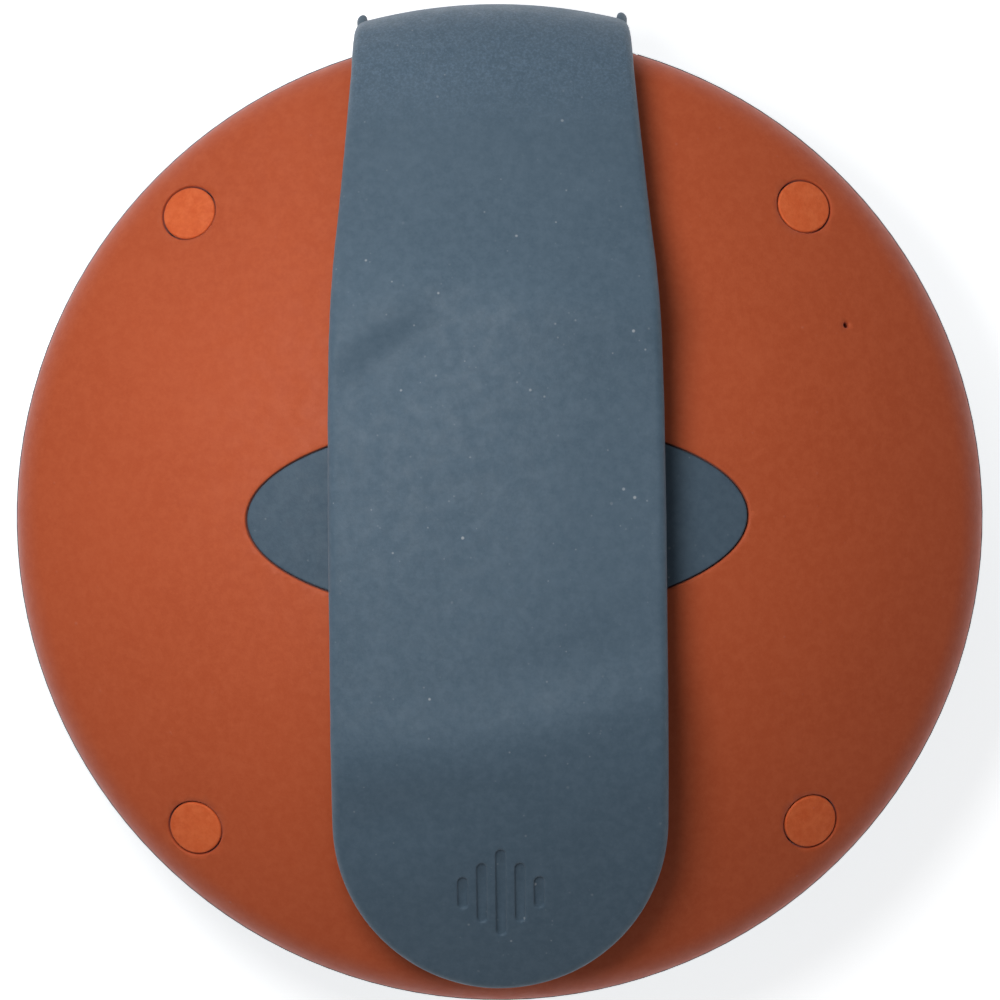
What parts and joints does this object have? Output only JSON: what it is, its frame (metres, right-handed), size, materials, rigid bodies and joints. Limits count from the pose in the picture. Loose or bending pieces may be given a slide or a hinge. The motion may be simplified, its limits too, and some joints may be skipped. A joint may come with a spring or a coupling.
{
  "type": "portable bluetooth speaker",
  "caption": "Round domed portable speaker in rust silicone, with a slate strap clip across its back, oval centre pad, round screw plugs and a grille front.",
  "frame": {"origin": "on the body's axis, in the plane of the front ring that it rests on", "axes": "+Z out of the domed back, +Y towards the root of the clip strap, +X completes the right-handed frame"},
  "size_m": [0.1656, 0.1715, 0.064],
  "materials": {
    "rear_skin": "matte soft-touch silicone",
    "housing_plastic": "fine texture",
    "slate_silicone": "matte silicone",
    "plug_silicone": "slightly rough silicone",
    "screw_steel": "zinc plated",
    "gasket_rubber": "satin",
    "grille_metal": "powder coat",
    "acoustic_cloth": "fine woven mesh",
    "spring_steel": "bright",
    "frame_metal": "black coat",
    "plated_steel": "nickel plated",
    "ferrite": "sintered, dull",
    "coil_wire": "enamelled copper",
    "spider_fabric": "resin-treated weave",
    "cone_paper": "pressed pulp",
    "radiator_metal": "satin",
    "cell_wrap": "shrink wrap",
    "circuit_board": "solder mask",
    "chip_plastic": "moulded epoxy",
    "button_plastic": "matte silicone",
    "lead_insulation": "satin insulation"
  },
  "bodies": {
    "speaker": {"rear_skin": "rear_skin", "rear_housing": "housing_plastic", "center_pad": "slate_silicone", "screw_plugs": "plug_silicone", "case_screws": "screw_steel", "case_gasket": "gasket_rubber", "front_housing": "housing_plastic", "front_skin": "slate_silicone", "grille": "grille_metal", "grille_cloth": "acoustic_cloth", "strap_root": "slate_silicone", "root_spring": "spring_steel", "anchor_screws": "screw_steel", "driver_frame_left": "frame_metal", "driver_frame_right": "frame_metal", "top_plate_left": "plated_steel", "top_plate_right": "plated_steel", "magnet_left": "ferrite", "magnet_right": "ferrite", "yoke_left": "plated_steel", "yoke_right": "plated_steel", "spider_left": "spider_fabric", "spider_right": "spider_fabric", "surround_left": "gasket_rubber", "surround_right": "gasket_rubber", "driver_screws": "screw_steel", "radiator_surround_upper": "gasket_rubber", "radiator_surround_lower": "gasket_rubber", "battery_cell_left": "cell_wrap", "battery_cell_right": "cell_wrap", "battery_tray": "housing_plastic", "main_board": "circuit_board", "radio_module": "plated_steel", "amplifier_chip": "chip_plastic", "capacitors": "chip_plastic", "board_screws": "screw_steel", "port_board": "circuit_board", "usb_socket": "plated_steel", "aux_socket": "chip_plastic", "microphone": "chip_plastic", "button_flex": "circuit_board", "tact_switches": "chip_plastic", "internal_leads": "lead_insulation"},
    "clip": {"clip_strap": "slate_silicone", "clip_spring": "spring_steel"},
    "door": {"port_door": "slate_silicone"},
    "power_key": {"power_button": "button_plastic"},
    "pairing_key": {"pairing_button": "button_plastic"},
    "play_key": {"play_button": "button_plastic"},
    "minus_key": {"minus_button": "button_plastic"},
    "plus_key": {"plus_button": "button_plastic"},
    "voice_left": {"voice_coil_left": "coil_wire", "cone_left": "cone_paper", "dust_cap_left": "cone_paper"},
    "voice_right": {"voice_coil_right": "coil_wire", "cone_right": "cone_paper", "dust_cap_right": "cone_paper"},
    "radiator_upper": {"radiator_plate_upper": "radiator_metal"},
    "radiator_lower": {"radiator_plate_lower": "radiator_metal"}
  },
  "joints": [
    {"name": "clip_flex", "type": "hinge", "parent": "speaker", "child": "clip", "pos_m": [0, 0.0789, 0.04558], "axis": [-1, 0, 0], "range_deg": [0, 20], "stiffness_Nm_per_rad": 1.3, "springref_deg": -2.86},
    {"name": "port_door_hinge", "type": "hinge", "parent": "speaker", "child": "door", "pos_m": [0.06741, -0.04212, 0.01265], "axis": [0.5299, 0.848, 0], "range_deg": [0, 95]},
    {"name": "power_press", "type": "slide", "parent": "speaker", "child": "power_key", "axis": [0.2865, 0.8818, 0.3746], "range_m": [0, 0.0006], "stiffness_N_per_m": 2500},
    {"name": "pairing_press", "type": "slide", "parent": "speaker", "child": "pairing_key", "axis": [0.145, 0.9158, 0.3746], "range_m": [0, 0.0006], "stiffness_N_per_m": 2500},
    {"name": "play_press", "type": "slide", "parent": "speaker", "child": "play_key", "axis": [0, 0.9272, 0.3746], "range_m": [0, 0.0006], "stiffness_N_per_m": 2500},
    {"name": "minus_press", "type": "slide", "parent": "speaker", "child": "minus_key", "axis": [-0.145, 0.9158, 0.3746], "range_m": [0, 0.0006], "stiffness_N_per_m": 2500},
    {"name": "plus_press", "type": "slide", "parent": "speaker", "child": "plus_key", "axis": [-0.2865, 0.8818, 0.3746], "range_m": [0, 0.0006], "stiffness_N_per_m": 2500},
    {"name": "cone_travel_left", "type": "slide", "parent": "speaker", "child": "voice_left", "axis": [0, 0, 1], "range_m": [-0.0015, 0.0015], "stiffness_N_per_m": 2000, "deforming": ["surround_left", "spider_left"]},
    {"name": "cone_travel_right", "type": "slide", "parent": "speaker", "child": "voice_right", "axis": [0, 0, 1], "range_m": [-0.0015, 0.0015], "stiffness_N_per_m": 2000, "deforming": ["surround_right", "spider_right"]},
    {"name": "radiator_travel_upper", "type": "slide", "parent": "speaker", "child": "radiator_upper", "axis": [0, 0, 1], "range_m": [-0.0015, 0.0015], "stiffness_N_per_m": 1500, "deforming": ["radiator_surround_upper"]},
    {"name": "radiator_travel_lower", "type": "slide", "parent": "speaker", "child": "radiator_lower", "axis": [0, 0, 1], "range_m": [-0.0015, 0.0015], "stiffness_N_per_m": 1500, "deforming": ["radiator_surround_lower"]}
  ]
}
